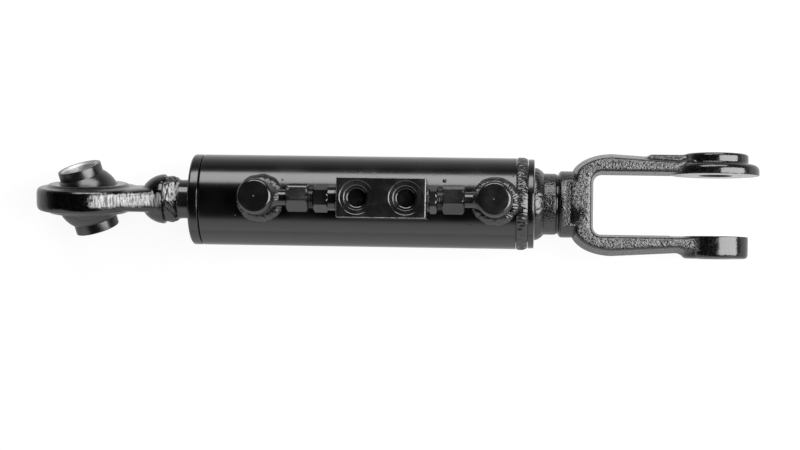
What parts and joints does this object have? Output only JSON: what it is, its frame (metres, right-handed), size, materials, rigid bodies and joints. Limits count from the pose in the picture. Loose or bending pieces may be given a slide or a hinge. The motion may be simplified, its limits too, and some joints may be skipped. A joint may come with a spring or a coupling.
{
  "type": "hydraulic tractor top link",
  "caption": "Hydraulic top link: a cylinder with a swivel ball eye on its rod, a forged fork on its closed end, and a check valve block piped along its top.",
  "frame": {"origin": "on the ground under the middle of the link's length, where the closed link rests on its eye", "axes": "+X along the cylinder from the ball eye to the fork, +Y along the fork's pin, +Z towards the oil ports"},
  "size_m": [0.5588, 0.08, 0.1083],
  "materials": {
    "black_paint": "gloss black paint on turned steel",
    "forged_paint": "gloss black paint over a rough drop-forged skin",
    "weld_paint": "black paint over rippled weld beads",
    "chrome_rod": "hard chrome, ground and polished",
    "bright_steel": "machined, bare",
    "seal_rubber": "matt nitrile rubber",
    "guide_resin": "woven phenolic guide strip"
  },
  "bodies": {
    "barrel": {"barrel_tube": "black_paint", "gland": "black_paint", "gland_guide_ring": "guide_resin", "rod_seal": "seal_rubber", "wiper_seal": "seal_rubber", "gland_o_ring": "seal_rubber", "end_cap": "black_paint", "end_weld": "weld_paint", "neck_weld": "weld_paint", "fork": "forged_paint", "port_boss_left": "black_paint", "port_boss_right": "black_paint", "boss_weld_left": "weld_paint", "boss_weld_right": "weld_paint", "pipe_left": "black_paint", "pipe_right": "black_paint", "pipe_weld_left": "weld_paint", "pipe_weld_right": "weld_paint", "union_nut_left": "black_paint", "union_nut_right": "black_paint", "cutting_ring_left": "bright_steel", "cutting_ring_right": "bright_steel", "stud_fitting_left": "black_paint", "stud_fitting_right": "black_paint", "seal_washer_left": "bright_steel", "seal_washer_right": "bright_steel", "valve_block": "black_paint", "check_spring_left": "bright_steel", "check_spring_right": "bright_steel"},
    "piston_seals": {"piston_seal": "seal_rubber", "piston_wear_ring_front": "guide_resin", "piston_wear_ring_back": "guide_resin"},
    "rod": {"rod": "chrome_rod", "piston": "bright_steel", "piston_o_ring": "seal_rubber", "piston_nut": "bright_steel", "rod_eye": "forged_paint", "rod_weld": "weld_paint"},
    "ball": {"ball": "black_paint"},
    "left_check": {"check_poppet_left": "bright_steel"},
    "right_check": {"check_poppet_right": "bright_steel"},
    "pilot": {"pilot_piston": "bright_steel"}
  },
  "joints": [
    {"name": "rod_slide", "type": "slide", "parent": "barrel", "child": "piston_seals", "axis": [-1, 0, 0], "range_m": [0, 0.15]},
    {"name": "rod_turn", "type": "hinge", "parent": "piston_seals", "child": "rod", "pos_m": [0, 0, 0.04029], "axis": [1, 0, 0], "continuous": true},
    {"name": "ball_tilt", "type": "hinge", "parent": "rod", "child": "ball", "pos_m": [-0.23935, 0, 0.04029], "axis": [0.5429, 0, 0.8398], "range_deg": [-36.2, 2]},
    {"name": "left_check_lift", "type": "slide", "parent": "barrel", "child": "left_check", "axis": [-1, 0, 0], "range_m": [0, 0.002], "stiffness_N_per_m": 500, "deforming": ["check_spring_left"]},
    {"name": "right_check_lift", "type": "slide", "parent": "barrel", "child": "right_check", "axis": [1, 0, 0], "range_m": [0, 0.002], "stiffness_N_per_m": 500, "deforming": ["check_spring_right"]},
    {"name": "pilot_slide", "type": "slide", "parent": "barrel", "child": "pilot", "axis": [1, 0, 0], "range_m": [-0.002, 0.002]}
  ]
}
